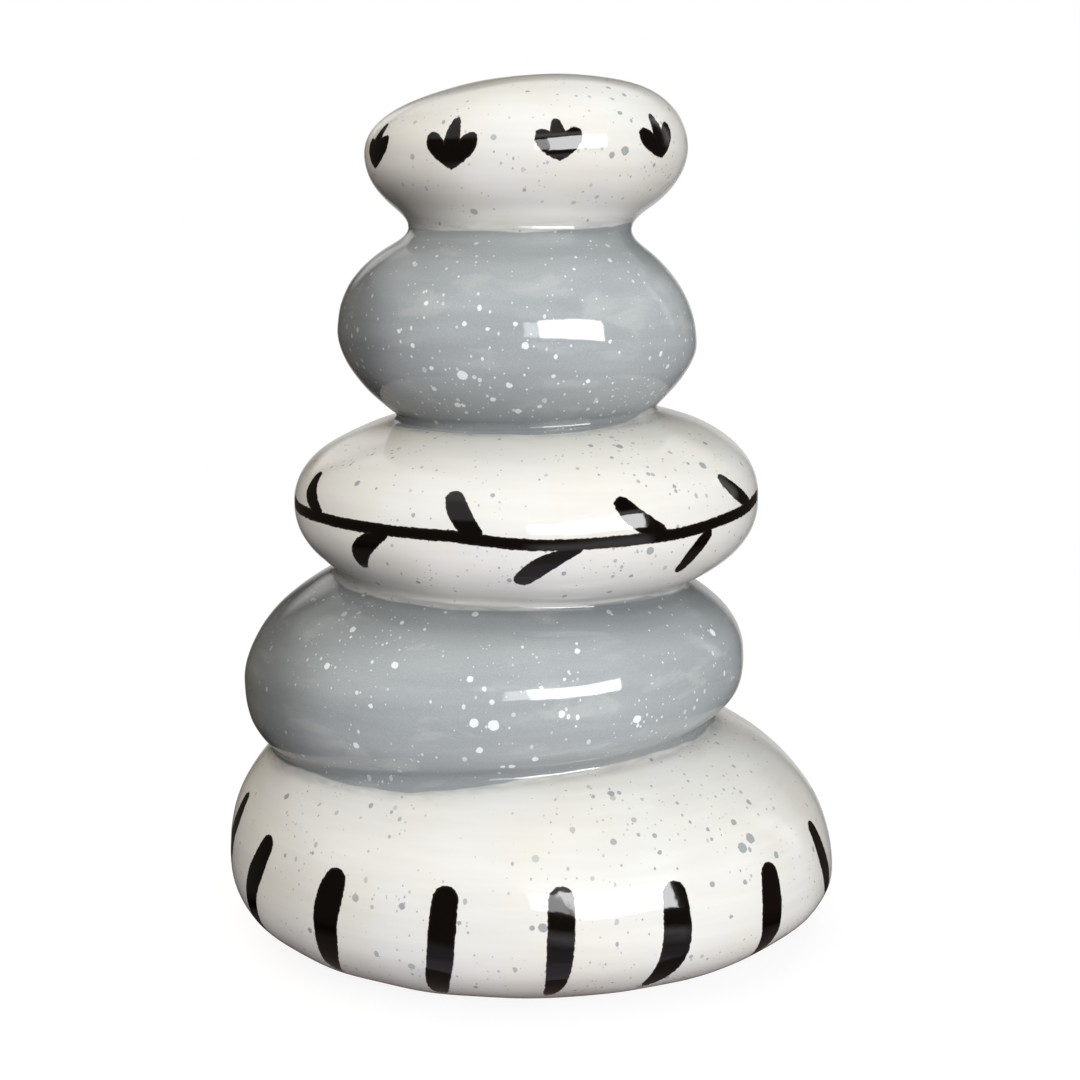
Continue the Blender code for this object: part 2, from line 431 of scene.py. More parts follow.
def paint(layer, stone, path, widths, dry_from=1.0):
    """Adds one stroke to a layer: path is (azimuth, latitude) in degrees, and widths are in mm.

    From the share dry_from of its length the brush runs dry, so the material breaks the stroke there.
    """
    curve = curve_through(np.column_stack([path, widths]))
    rows = stone_rows[STONES.index(stone)]
    depth, share = stroke_depth(grid[rows], on_stone(stone, curve[:, :2]), curve[:, 2])
    layer[rows] = np.maximum(layer[rows], depth)
    if dry_from < 1:
        drier = np.clip((share - dry_from) / (1 - dry_from), 0, 1) * (depth > -1)
        dryness[rows] = np.maximum(dryness[rows], drier)


print("The front of the middle stone's widest line is at", on_stone(MIDDLE, [(0, 0)])[0].round(1), "mm")

# %% [markdown]
# ## Bars round the base
#
# Eighteen short bars run down the base. The brush was pressed down at the top, drawn down and lifted
# to the left, so a bar has a round head, nearly straight sides and a thin, broken tail. Those in front
# are given one by one, and the rest carry on round the back with small chance differences.

# %% Paint the bars
chance = np.random.default_rng(7)
BARS_IN_FRONT = (  # ((azimuth, latitude), ...), (width in mm, ...) from head to tail
    (((-73, 28), (-73.4, 21), (-75.5, 10), (-77, -10)), (4.8, 6.6, 6.6, 3.4)),
    (((-55.1, 21), (-57, 13), (-59.6, 2), (-60.4, -14), (-61, -27)), (5.8, 7.2, 7.6, 6.6, 3.6)),
    (((-35.5, 17.6), (-36.3, 12), (-37.2, 3), (-37.4, -8), (-39.6, -25)), (6.8, 8.2, 8.2, 7.4, 3.8)),
    (((-14.5, 17), (-14.9, 5), (-15.5, -8), (-17, -20), (-18, -29)), (6.8, 7.3, 7, 5.9, 3)),
    (((5.2, 17.8), (5.1, 7), (4.8, -6), (4.2, -18), (3, -28)), (6.6, 7.1, 6.6, 5, 2.2)),
    (((25.2, 16.2), (25.3, 8), (25.1, -2), (23.6, -14), (20.8, -25)), (6.8, 7.8, 8, 6.6, 2.4)),
    (((46.4, 14.8), (46, 7), (45.8, -4), (46, -14), (46.4, -23.5)), (6.6, 8, 8, 6, 2.4)),
    (((67.7, 19.2), (68, 11), (69.6, 0), (72, -14)), (6.4, 7.8, 7.4, 4)),
)
BARS_BEHIND = 10
BAR_PLACES, BAR_WIDTHS = (0, 0.3, 0.6, 0.85, 1), (6.2, 7.6, 7.3, 5.8, 2.6)  # shares of its length, and mm
DRY_FROM = 0.9  # the share of a bar's length where the brush runs dry
for path, widths in BARS_IN_FRONT:
    paint(first_strokes, BASE, path, widths, DRY_FROM)
bar_gap = (360 + BARS_IN_FRONT[0][0][0][0] - BARS_IN_FRONT[-1][0][0][0]) / (BARS_BEHIND + 1)
for number in range(BARS_BEHIND):
    azimuth = BARS_IN_FRONT[-1][0][0][0] + (number + 1) * bar_gap + chance.normal(0, 0.7)
    head, tail = chance.normal(21.5, 1.2), chance.normal(-25, 2.5)
    lean = chance.normal(-1.2, 0.9)
    path = [(azimuth + lean * t, head + (tail - head) * t) for t in BAR_PLACES]
    paint(first_strokes, BASE, path, np.array(BAR_WIDTHS) * chance.normal(1, 0.05), DRY_FROM)
print("Bars:", len(BARS_IN_FRONT) + BARS_BEHIND)

# %% [markdown]
# ## The vine round the middle stone
#
# One thin stem runs round the widest part of the middle stone, and single-stroke leaves point up and
# down from it in turn. The stem was painted while the piece turned, so it rises and dips slowly. A
# leaf starts round at its tip and ends in a thinner pull at the stem.

# %% Paint the vine
STEM = (
    (-70, -0.1), (-59, -0.4), (-41, -0.9), (-24.5, -1.7), (-17, -2), (-10.4, -3.6), (2.3, -6.2), (16.5, -5.8),
    (32.1, -4.5), (41.2, -3.2), (52.8, -0.3), (65.2, 2.2), (76, 5.1), (98, 6), (124, 2), (150, -3),
    (176, -6), (204, -6), (232, -3), (258, 1), (277, 2), (290, -0.1),
)
STEM_WIDTH = 3.1  # mm
LEAVES_IN_FRONT = (  # from the tip to the stem
    (((-65.6, 19.5), (-63.6, 12), (-56, 1.2)), (4, 5.2, 3.2)),
    (((-16.7, 17.6), (-14.9, 10), (-11.5, -0.8)), (5, 5.8, 5)),
    (((22.8, 14), (25.3, 7.2), (31.3, -2.6)), (4.6, 5.4, 5)),
    (((55.6, 20), (58.9, 13.2), (65.4, 4.4)), (4, 4.8, 3.6)),
    (((-41.6, -21.5), (-41.1, -16), (-38.4, -10), (-33.3, -4)), (4, 5.8, 5.4, 2.6)),
    (((-0.4, -25.4), (2.6, -19.8), (6.6, -14.2), (12.4, -8.4)), (5, 5.4, 4.4, 2)),
    (((40.1, -24.4), (42.5, -16.1), (46.3, -6.8)), (3.8, 4.8, 3.6)),
)
LEAVES_BEHIND = 9
LEAF = ((1, 20, 4.2), (0.7, 11, 5), (0, 2, 3.2))  # shares of its lean, degrees from the stem, and mm wide
paint(first_strokes, MIDDLE, STEM, [STEM_WIDTH] * len(STEM))
for path, widths in LEAVES_IN_FRONT:
    paint(last_strokes, MIDDLE, path, widths)
stem_azimuths, stem_latitudes = np.array(STEM).T
for number, azimuth in enumerate(np.linspace(86, 275, LEAVES_BEHIND)):
    azimuth = azimuth + chance.normal(0, 2)
    up = 1 if number % 2 else -1
    root = np.interp(azimuth, stem_azimuths, stem_latitudes)
    back = chance.normal(9, 1.5)
    path = [(azimuth - back * share, root + up * away) for share, away, _ in LEAF]
    paint(last_strokes, MIDDLE, path, np.array([width for _, _, width in LEAF]) * chance.normal(1, 0.06))
print("Leaves:", len(LEAVES_IN_FRONT) + LEAVES_BEHIND)

# %% [markdown]
# ## Buds round the cap
#
# Each bud is three short strokes that meet at one point: a petal to the left, one to the right, and a
# longer one between them. Ten go round the cap. Every bud is given by its foot, its size and its tilt,
# and its petals are worked out from those.

# %% Paint the buds
BUDS_IN_FRONT = (  # foot's azimuth and latitude, then the tips of the middle, right and left petals
    ((-64.8, -11), (-60.3, 16.4), (-55.6, 6.4), (-66.9, 4.8)),
    ((-25.3, -12), (-24.1, 18.7), (-17.8, 7), (-32.4, 7.6)),
    ((11.6, -6.6), (10.6, 17.3), (17, 10.4), (5.4, 9)),
    ((53.3, -4.5), (49.8, 21.3), (57.5, 15), (43.3, 10.3)),
)
BUDS_BEHIND = 6
BUD_TIPS = ((0.5, 26), (8, 16), (-7.5, 16))  # degrees from the foot to the tips of a bud behind
# A petal's two places on the way from foot to tip, as shares, and its widths in mm from foot to tip.
SIDE_PETAL = ((0.42, 0.42), (0.8, 0.78)), (1.0, 4.0, 5.0, 3.2)
MIDDLE_PETAL = ((0.3, 0.3), (0.72, 0.72)), (1.2, 4.8, 4.0, 2.2)


def paint_bud(foot, middle, right, left):
    """Three round-tipped petals from one foot: the side ones are full, and the middle one is slimmer."""
    petals = ((first_strokes, right, SIDE_PETAL), (first_strokes, left, SIDE_PETAL),
              (last_strokes, middle, MIDDLE_PETAL))
    for layer, tip, (places, widths) in petals:
        way = np.array(tip, float) - foot
        paint(layer, TOP, [foot, *(np.array(foot) + way * place for place in places), tip], widths)


for bud in BUDS_IN_FRONT:
    paint_bud(*bud)
bud_gap = (360 + BUDS_IN_FRONT[0][0][0] - BUDS_IN_FRONT[-1][0][0]) / (BUDS_BEHIND + 1)
for number in range(BUDS_BEHIND):
    azimuth = BUDS_IN_FRONT[-1][0][0] + (number + 1) * bud_gap + chance.normal(0, 1.2)
    foot = np.array([azimuth, chance.normal(-7, 1.5)])
    paint_bud(foot, *(foot + np.array(tip) * chance.normal(1, 0.05) for tip in BUD_TIPS))
print("Buds:", len(BUDS_IN_FRONT) + BUDS_BEHIND)

# %% [markdown]
# ## Where the grey glaze ends
#
# The second and fourth stones are grey. The glaze was brushed up to each crease by hand, so it stops a
# little below it or above it. Each point keeps how far inside the grey it is along the skin.

# %% Measure the grey glaze's edges
GREY_EDGES = (  # (azimuth, mm above the crease), one list for each crease from the lowest up
    ((-150, -2), (-95, -1.5), (-54, 0), (-35, -1.7), (-21, -3), (-5, -2), (10, 0), (27, 0), (67, -0.7),
     (110, -1.5)),
    ((-160, -1), (-68, -1), (-50, -1.8), (-34, -1.4), (-15, -1.6), (1, -1.1), (22, -0.1), (47, 0.4),
     (85, -1.6)),
    ((-160, -1.5), (-76, -2.2), (-56, -1), (-13, -1.6), (9, -2.4), (24, -2.4), (36, -1.1), (50, 0),
     (68, 1.6), (110, -1)),
    ((-150, 0.5), (-64, 0), (-32, -0.7), (-2, -1.3), (15, -0.8), (27, -0.7), (42, 0), (69, 1.2), (120, 0)),
)
above_edges = []
for row, edge in zip(neck_rows, GREY_EDGES):
    right, back, _ = (grid[row] - grid[row].mean(axis=0)).T
    around = np.degrees(np.arctan2(right, -back))
    offset = np.interp(around, *np.array(edge).T, period=360)
    above_edges.append(up_the_skin - up_the_skin[row] - offset)
greyness = np.maximum(
    np.minimum(above_edges[0], -above_edges[1]), np.minimum(above_edges[2], -above_edges[3])
)
print("Grey covers", f"{(greyness > 0).mean():.0%}", "of the mesh's points")

# %% [markdown]
# ## Painted light and shade on each stone
#
# Each stone's colour is scaled by painted light and shade. Both grey stones get painted shade round
# the left end and painted light towards the right. Painted shade darkens the upper grey's underside,
# the grey shoulders under a crease and the left half of the white stones' undersides, and a little of
# the base's shoulder.

# %% Work out each stone's painted light and shade
# Each share scales the colour: below 1 it is painted shade, and above 1 painted light.
LIGHT_AND_SHADE_SHARES = (  # share of the glaze's colour: left end, right end, underside, left half of it, shoulder
    (1.0, 1.0, 1.0, 0.82, 0.93),
    (0.58, 1.08, 0.94, 1.0, 0.6),
    (1.0, 1.0, 1.0, 0.45, 1.0),
    (0.58, 1.1, 0.7, 0.7, 0.84),
    (1.0, 1.0, 1.0, 0.5, 1.0),
)
# Where each of them starts and where it is full, in half widths and then in degrees of latitude.
LEFT, RIGHT, CORNER = (-0.55, -0.86), (-0.2, 0.7), (-0.25, -0.86)
UNDERSIDE, SHOULDER = (-6, -34), (20, 44)


def ramp(values, start, end):
    """A smooth step: 0 up to start, 1 from end on, and 3t^2 - 2t^3 of the way t between them."""
    way = np.clip((values - start) / (end - start), 0, 1)
    return way * way * (3 - 2 * way)


painted_light_and_shade = np.ones(grid.shape[:2])
for stone, rows, (left, right, under, corner, shoulder) in zip(STONES, stone_rows, LIGHT_AND_SHADE_SHARES):
    side = (grid[rows][..., 0] - stone.centre_x) / stone.half_width
    latitude = np.degrees(seen_at(stone, grid[rows])[1])
    below = ramp(latitude, *UNDERSIDE)
    shares = (
        (left, ramp(side, *LEFT)), (right, ramp(side, *RIGHT)), (under, below),
        (corner, below * ramp(side, *CORNER)), (shoulder, ramp(latitude, *SHOULDER)),
    )
    painted_light_and_shade[rows] = 1  # a crease's row belongs to the stone above it
    for share, amount in shares:
        painted_light_and_shade[rows] *= 1 + (share - 1) * amount
print("The glaze's tone goes from", painted_light_and_shade.min().round(2), "to", painted_light_and_shade.max().round(2), "of its own colour")

# %% [markdown]
# ## How near a crease
#
# Glaze runs into a crease and lies thick there, and the light hardly gets in, so the colour is given
# painted shade there. Each point keeps its way along the skin to the nearest crease, so the painted
# shade can darken the colour over the last few millimetres.

# %% Measure the way to the creases
to_crease = np.min([np.abs(up_the_skin - up_the_skin[row]) for row in neck_rows], axis=0)
between = to_crease[neck_rows[0] : neck_rows[-1]]
print("Between the creases the furthest place is", between.max().round(1), "mm from one")

# %% Store the paint on the mesh
def store(mesh, name, values):
    """Keeps one number for each point of the mesh; the crown's point takes its row's mean."""
    attribute = mesh.attributes.new(name, "FLOAT", "POINT")
    attribute.data.foreach_set("value", np.append(values.ravel(), values[-1].mean()).astype(np.float32))


paint_on_skin = {
    "first_strokes": first_strokes, "last_strokes": last_strokes, "dryness": dryness,
    "greyness": greyness, "to_crease": to_crease, "painted_light_and_shade": painted_light_and_shade,
}
for name, values in paint_on_skin.items():
    store(mesh, name, np.clip(values, -NEAREST, NEAREST))
print("Black covers", f"{(np.maximum(first_strokes, last_strokes) > 0).mean():.1%}", "of the mesh's points")

# %% Lay out the UV grid
FOOT_SPOT = 0.002  # the foot's share of the UV square: a small disc in the middle of its lower edge


def grid_uv(mesh, rows, columns, heights):
    """Each cell's corners: across by its column's number, and up by the mean way along the skin."""
    up = heights.mean(axis=1) / heights.mean(axis=1)[-1] * 0.98 + 0.005
    left = np.tile(np.arange(columns) / columns, (rows - 1, 1))
    right = left + 1 / columns
    low, high = np.repeat(up[:-1, None], columns, axis=1), np.repeat(up[1:, None], columns, axis=1)
    cells = np.stack([left, low, right, low, right, high, left, high], axis=-1).reshape(-1, 2)
    top, middle = np.full(columns, up[-1]), (left[0] + right[0]) / 2
    lid = np.stack([left[0], top, right[0], top, middle, np.ones(columns)], axis=-1).reshape(-1, 2)
    turn = np.linspace(2 * math.pi, 0, columns, endpoint=False)
    foot = (0.5, 0.0025) + FOOT_SPOT * np.column_stack([np.cos(turn), np.sin(turn)])
    layer = mesh.uv_layers.new(name="OFBake")
    layer.data.foreach_set("uv", np.concatenate([cells, lid, foot]).astype(np.float32).ravel())


grid_uv(mesh, *grid.shape[:2], up_the_skin)
print("The UV square holds", len(mesh.polygons), "faces")

# %% [markdown]
# ## Helpers for finishes
#
# Colours are written as the sRGB codes that a paint chart would give, and one function turns them to
# the linear values that a shader works in. One more function adds a node, sets it and links it.

# %% Colour and node helpers
def linear(code):
    """An sRGB colour such as #9aa0a3 as linear red, green, blue and alpha."""
    srgb = np.array([int(code[i : i + 2], 16) for i in (1, 3, 5)]) / 255
    return (*np.where(srgb <= 0.04045, srgb / 12.92, ((srgb + 0.055) / 1.055) ** 2.4), 1.0)


def add(tree, kind, inputs=(), operation=None, **settings):
    """Adds a node: settings go on the node, and inputs, listed or by name, take values or links.

    A link comes from a socket, or from a node, and then from its first output that is in use.
    """
    node = tree.nodes.new("ShaderNode" + kind)
    if operation:
        node.operation = operation
    for name, value in settings.items():
        setattr(node, name, value)
    for key, value in inputs.items() if isinstance(inputs, dict) else enumerate(inputs):
        if isinstance(value, bpy.types.Node):
            value = next(socket for socket in value.outputs if socket.enabled)
        if isinstance(value, bpy.types.NodeSocket):
            tree.links.new(value, node.inputs[key])
        else:
            node.inputs[key].default_value = value
    return node


def empty_tree(owner):
    """The node tree of a material or a world, with nothing in it."""
    owner.use_nodes = True
    owner.node_tree.nodes.clear()
    return owner.node_tree


print("Half grey, #808080, is", round(linear("#808080")[0], 3), "of white's light")

# %% [markdown]
# ## The glazed ceramic
#
# The finish is earthenware under glaze: an opaque white, a blue-grey on two stones, black brushwork,
# and a clear gloss over all of it. A glaze is glass, so its IOR is 1.5, it isn't a metal, and it is
# nearly smooth: the eye sees sharp reflections of the windows over a soft, slightly uneven colour.
# The pattern coordinates are in millimetres, so each size below is a real one.

# %% Start the glaze
glaze = bpy.data.materials.new("fired_glossy_glaze")
tree = empty_tree(glaze)
place = add(tree, "TexCoord").outputs["Object"]
in_mm = add(tree, "VectorMath", {0: place, "Scale": 1 / MM}, "SCALE")
stored = {name: add(tree, "Attribute", attribute_name=name).outputs["Fac"] for name in paint_on_skin}
print("The glaze reads", ", ".join(stored), "from the skin")

# %% [markdown]
# ### Chance at its real size
#
# Whatever a hand or a kiln leaves uneven has a size of its own. Each line below is one such pattern
# of noise: the size of its patches, their finer detail and swirl, which part of the noise counts, and
# what values that becomes. A brush leaves wide, low patches, and its dry hairs narrow, tall ones. The
# bubbles in a glaze are about 0.1 mm, and drawn at 0.3 mm, because a finer grain wouldn't show.

# %% Grow the patterns
PATTERNS = {  # mm across, mm up, detail, swirl, the noise's limits, the values it becomes
    "blotches": (22, 22, 3, 0, 0.38, 0.68, 0, 1),  # where the white lies thick and warm
    "streaks": (26, 2.2, 3, 0, 0.35, 0.65, 0.975, 1.012),  # level brush marks, as shares of the white
    "coats": (55, 9, 3, 0, 0.3, 0.7, 0, 1),  # from the grey's deep coats to its pale ones
    "smears": (17, 6, 4, 0.4, 0.55, 0.66, 0, 0.34),  # how far a pale smear covers the grey
    "grain": (0.3, 0.3, 1, 0, 0.25, 0.75, 0.93, 1.07),  # bubbles, as shares of the grey
    "crowds": (28, 28, 1, 0, 0.38, 0.66, 0.3, 2),  # how many drops fell there, as shares of the usual
    "wander": (11, 11, 2, 0, 0.25, 0.75, -0.35, 0.35),  # mm that the grey's edge strays
    "wash": (6.25, 10 / 11, 3, 0, 0.35, 0.65, 0, 0.5),  # how far the thin wash past the edge covers
    "waver": (1.1, 1.1, 2, 0, 0.25, 0.75, -0.16, 0.16),  # mm that a black stroke's edge strays
    "hairs": (5 / 11, 4, 2, 0, 0.35, 0.7, 0, 3.2),  # mm of a stroke lost between a dry brush's hairs
    "ripple": (2.6, 2.6, 1, 0, 0, 1, 0, 0.02),  # mm that the gloss rises
}
pattern = {}
for name, (across, upwards, detail, swirl, low, high, least, most) in PATTERNS.items():
    sized = add(tree, "VectorMath", [in_mm, (1 / across, 1 / across, 1 / upwards)], "MULTIPLY")
    noise = add(tree, "TexNoise", {"Vector": sized, "Scale": 1, "Detail": detail, "Distortion": swirl})
    pattern[name] = add(
        tree, "MapRange",
        {"Value": noise, "From Min": low, "From Max": high, "To Min": least, "To Max": most},
    )
print(len(pattern), "patterns, from", min(size[1] for size in PATTERNS.values()), "mm tall")

# %% [markdown]
# ### White and grey
#
# The white was poured on and brushed level. It is a little uneven: warm where it lies thick, with
# faint level streaks. The grey was brushed round in two coats, so it has broad level bands, and pale
# smears where the brush dragged. The grain shows in the grey alone, because the white hides it.

# %% Mix the two glazes
WHITE_COOL, WHITE_WARM = "#dcdcd9", "#dbd9d1"
GREY_PALE, GREY_DEEP, SMEAR = "#a5aaac", "#959b9d", "#bcbfbc"
blotches, coats = pattern["blotches"], pattern["coats"]
white = add(tree, "Mix", {0: blotches, 6: linear(WHITE_COOL), 7: linear(WHITE_WARM)}, data_type="RGBA")
white = add(tree, "VectorMath", {0: white, "Scale": pattern["streaks"]}, "SCALE")
grey = add(tree, "Mix", {0: coats, 6: linear(GREY_DEEP), 7: linear(GREY_PALE)}, data_type="RGBA")
grey = add(tree, "Mix", {0: pattern["smears"], 6: grey, 7: linear(SMEAR)}, data_type="RGBA")
grey = add(tree, "VectorMath", {0: grey, "Scale": pattern["grain"]}, "SCALE")
print("The pale grey has", round(linear(GREY_PALE)[1] / linear(WHITE_COOL)[1], 2), "of the white's light")

# %% [markdown]
# ### Drops thrown from a brush
#
# Fine drops were flicked over the whole piece: grey ones on the white stones and white ones on the
# grey stones. Most are 0.4 to 1 mm across and some reach 2 mm, and they are a little taller than
# wide. Each layer is a Voronoi pattern, which drops one point in each cell: the point's own random
# colour says if there is a drop, how large it is and how thick.

# %% Scatter the drops
DROP_LAYERS = (  # cell size, smallest and largest radius in mm, share of cells with a drop, stretch upwards
    (1.6, 0.20, 0.40, 0.42, 1.2),
    (2.8, 0.34, 0.72, 0.40, 1.5),
    (5.0, 0.60, 1.10, 0.16, 1.0),
)
DROP_EDGE = 0.08  # mm over which a drop fades into the glaze
SMALLNESS = 2.5  # the power of chance that sets a drop's size, so that small ones are common
THINNEST_DROP = 0.45  # how far the thinnest drop covers, where the thickest covers 1
drops = 0.0
for cell, smallest, largest, share, stretch in DROP_LAYERS:
    where = add(tree, "VectorMath", [in_mm, (1 / cell, 1 / cell, 1 / cell / stretch)], "MULTIPLY")
    cells = add(tree, "TexVoronoi", {"Vector": where, "Scale": 1})
    luck = add(tree, "SeparateColor", [cells.outputs["Color"]]).outputs
    odds = add(tree, "Math", [pattern["crowds"], share], "MULTIPLY")
    fell = add(tree, "Math", [luck[0], odds], "LESS_THAN")
    size = add(tree, "Math", [luck[1], SMALLNESS], "POWER")
    radius = add(tree, "MapRange", {"Value": size, "To Min": smallest / cell, "To Max": largest / cell})
    inside = add(tree, "Math", [radius, cells.outputs["Distance"]], "SUBTRACT")
    thickness = add(tree, "MapRange", {"Value": luck[2], "To Min": THINNEST_DROP})
    cover = add(tree, "Math", [fell, thickness], "MULTIPLY")
    drop = add(tree, "MapRange", {"Value": inside, "From Max": DROP_EDGE / cell, "To Max": cover})
    drops = add(tree, "Math", [drops, drop], "MAXIMUM")
print("The glaze has", len(tree.nodes), "nodes so far")

# %% [markdown]
# ### The largest drops
#
# A few drops are so large that the eye remembers where they are. Each stone's are listed by azimuth,
# latitude and width, and a long one is a short row of round ones. A little noise in the place that is
# measured makes their outlines ragged.

# %% Place the largest drops
LARGEST_DROPS = (  # (azimuth, latitude, mm wide)
    (UPPER_GREY, (
        (-17, -11, 3), (3, 3, 2), (0, 12, 1.5), (-8, 10, 1.5), (-15, 12, 1.5), (-2, -16, 2), (-8, -24, 2),
        (1, -31, 2), (24, -14, 1.5), (29, 4, 1.5), (-32, 2, 1.5), (-37, 8, 1.5), (-28, 20, 1.5),
        (-27, -8, 1.5), (-20, -28, 1.5), (9, -28, 1.5),
    )),
    (LOWER_GREY, (
        (1, -3, 3), (-3, -2, 2.5), (-4, 17, 2), (-2, -15, 2), (-29, -16, 2), (-25, 3, 1.5), (-38, 17, 2),
        (-21, 21, 2), (20, 27, 2), (15, 1, 2), (32, -5, 2.5), (10, -21, 2), (3, -25, 1.5), (5, -25, 2),
        (-4, 43, 2), (16, 16, 1.5), (11, 13, 1.5), (-1, 13, 1.5), (-36, 33, 2), (61, 24, 2.5),
    )),
    (TOP, (
        (35, -1, 2.5), (30, -4, 2), (35, 23, 1.5), (39, 42, 1.5), (1, 41, 1.5), (43, 36, 1.5), (50, -10, 1.5),
    )),
    (MIDDLE, (
        (-26, 8, 1.5), (-46, 21, 2), (9, -22, 1.5), (52, 29, 2.5), (-27, -30, 1.5), (26, -26, 1.5),
        (65, 39, 2), (31, 44, 2), (22, 46, 1.5),
    )),
    (BASE, (
        (45, 28, 3), (42, 26, 3), (43, 34, 2), (51, 38, 2), (36, 34, 1.5), (36, 31, 1.5), (50, 20, 2),
        (33, 17, 2), (2, 8, 2.5), (-22, 13, 2), (-41, -4, 2), (-56, 37, 2), (24, 30, 1.5), (-12, 9, 1.5),
        (18, 48, 2), (36, 4, 1.5), (40, 15, 1.5),
    )),
)
RAGGED, RAGGED_SIZE = 0.7, 0.9  # mm of noise from side to side, and mm from one bulge to the next
largest = 0.0
ragged = add(tree, "TexNoise", {"Vector": in_mm, "Scale": 1 / RAGGED_SIZE, "Detail": 2})
uneven = add(tree, "VectorMath", [ragged.outputs["Color"], (0.5, 0.5, 0.5)], "SUBTRACT")
shaken = add(tree, "VectorMath", [uneven, (RAGGED, RAGGED, RAGGED), in_mm], "MULTIPLY_ADD")
for stone, places in LARGEST_DROPS:
    centres = on_stone(stone, [place[:2] for place in places])
    for centre, (_, _, width) in zip(centres, places):
        away = add(tree, "VectorMath", [shaken, centre], "DISTANCE")
        inside = add(tree, "Math", [width / 2, away], "SUBTRACT")
        largest = add(tree, "Math", [largest, inside], "MAXIMUM")
largest = add(tree, "MapRange", {"Value": largest, "From Max": DROP_EDGE})
drops = add(tree, "Math", [drops, largest], "MAXIMUM")
print("Large drops:", sum(len(places) for _, places in LARGEST_DROPS))

# %% [markdown]
# ### Which glaze is where
#
# The stored distance is cut at 0, after a little chance is added so that the edge wanders as a brush
# does. Past the edge a thin wash of grey runs out over the white and breaks up within a few
# millimetres.

# %% Cut the grey's edge and lay the drops on both glazes
GREY_DROP, WHITE_DROP = "#94989a", "#e6eced"
DROPS_COVER = 0.9  # how far the thickest drop hides the glaze under it
EDGE_BLUR = 0.25  # mm to each side over which the grey thins out at its edge
WASH_REACH = 3.4  # mm that the wash runs out

grey_depth = add(tree, "Math", [stored["greyness"], pattern["wander"]])
grey_here = add(tree, "MapRange", {"Value": grey_depth, "From Min": -EDGE_BLUR, "From Max": EDGE_BLUR})
wash = add(
    tree, "MapRange",
    {"Value": grey_depth, "From Min": -WASH_REACH, "From Max": 0.0, "To Max": pattern["wash"]},
)
grey_cover = add(tree, "Math", [grey_here, wash], "MAXIMUM")
under = add(tree, "Mix", {0: grey_cover, 6: white, 7: grey}, data_type="RGBA")
drop_colour = add(tree, "Mix", {0: grey_here, 6: linear(GREY_DROP), 7: linear(WHITE_DROP)}, data_type="RGBA")
strength = add(tree, "Math", [drops, DROPS_COVER], "MULTIPLY")
speckled = add(tree, "Mix", {0: strength, 6: under, 7: drop_colour}, data_type="RGBA")
print("The wash covers up to", PATTERNS["wash"][-1], "of the white, and ends", WASH_REACH, "mm past the edge")

# %% [markdown]
# ### Painted shade in the creases
#
# The last few millimetres before a crease get darker, by more than a quarter in the crease itself: this
# is painted shade, for the light that hardly gets in over glaze that lies thick there. A smooth curve of
# the stored way to the crease does it, and the stored painted light and shade comes in with it.

# %% Paint shade into the creases
# Painted shade: the share of the colour that is left in the crease itself.
CREASE_REACH, CREASE_DARK = 4.5, 0.72  # mm, and the share of the colour that is left in the crease itself
crease_shade = add(
    tree, "MapRange",
    {"Value": stored["to_crease"], "From Max": CREASE_REACH, "To Min": CREASE_DARK},
    interpolation_type="SMOOTHSTEP",
)
# The creases' painted shade times each stone's painted light and shade.
light_and_shade_gain = add(tree, "Math", [crease_shade, stored["painted_light_and_shade"]], "MULTIPLY")
speckled = add(tree, "VectorMath", {0: speckled, "Scale": light_and_shade_gain}, "SCALE")
print("A crease keeps", f"{CREASE_DARK:.0%}", "of the colour beside it")

# %% [markdown]
# ### The black brushwork
#
# The black is a thick underglaze. Its edge wavers by about a tenth of a millimetre, and where the
# brush ran dry the hairs left separate streaks, which only count where the stored dryness says so. It
# is brown where it is thin, at the very edge.

# %% Cut the strokes
BLACK, BLACK_THIN = "#0b0806", "#2a201a"
BLACK_EDGE, BLACK_FULL = (-0.06, 0.1), (0, 0.6)  # mm deep in a stroke, for thin black and then thick
lost = add(tree, "Math", [pattern["hairs"], stored["dryness"]], "MULTIPLY")
ink = add(tree, "Math", [stored["first_strokes"], stored["last_strokes"]], "MAXIMUM")
ink = add(tree, "Math", [ink, pattern["waver"]])
ink = add(tree, "Math", [ink, lost], "SUBTRACT")
black_here, thick = (
    add(tree, "MapRange", {"Value": ink, "From Min": start, "From Max": full})
    for start, full in (BLACK_EDGE, BLACK_FULL)
)
black = add(tree, "Mix", {0: thick, 6: linear(BLACK_THIN), 7: linear(BLACK)}, data_type="RGBA")
painted = add(tree, "Mix", {0: black_here, 6: speckled, 7: black}, data_type="RGBA")
print("The black has", round(linear(BLACK)[0], 4), "of white's light")

# %% [markdown]
# ### The gloss
#
# A fired glaze isn't flat like window glass: it has a soft ripple a few millimetres across, about two
# hundredths of a millimetre high. The grey coat stands a little over the white, so there is a thin
# glint along its edge. Drops and strokes are too thin for that to show.

# %% Finish the glaze and put it on
GREY_COAT, COAT_EDGE = 0.06, (-0.5, 1.1)  # mm high, and mm deep in the grey where it starts and is full
grey_edge = add(
    tree, "MapRange",
    {"Value": grey_depth, "From Min": COAT_EDGE[0], "From Max": COAT_EDGE[1], "To Max": GREY_COAT},
    interpolation_type="SMOOTHSTEP",
)
height = add(tree, "Math", [pattern["ripple"], grey_edge])
bump = add(tree, "Bump", {"Height": height, "Distance": MM, "Strength": 1})
shader = add(
    tree, "BsdfPrincipled",
    {"Base Color": painted, "Roughness": 0.06, "IOR": 1.5, "Metallic": 0.0, "Normal": bump},
)
add(tree, "OutputMaterial", {"Surface": shader})
mesh.materials.append(glaze)
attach(skin, "root")
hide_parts("stone_cairn")
print("The glaze has", len(tree.nodes), "nodes")

# %% [markdown]
# ## The floor
#
# The piece stands on a plain white surface that has no end in sight. It is a disc that gets clearer
# towards its edge, over a white world. Most of its white is its own, as on a lit table, so the shadow
# stays faint. The light that it throws up is part of the room below, where it can be set by itself.

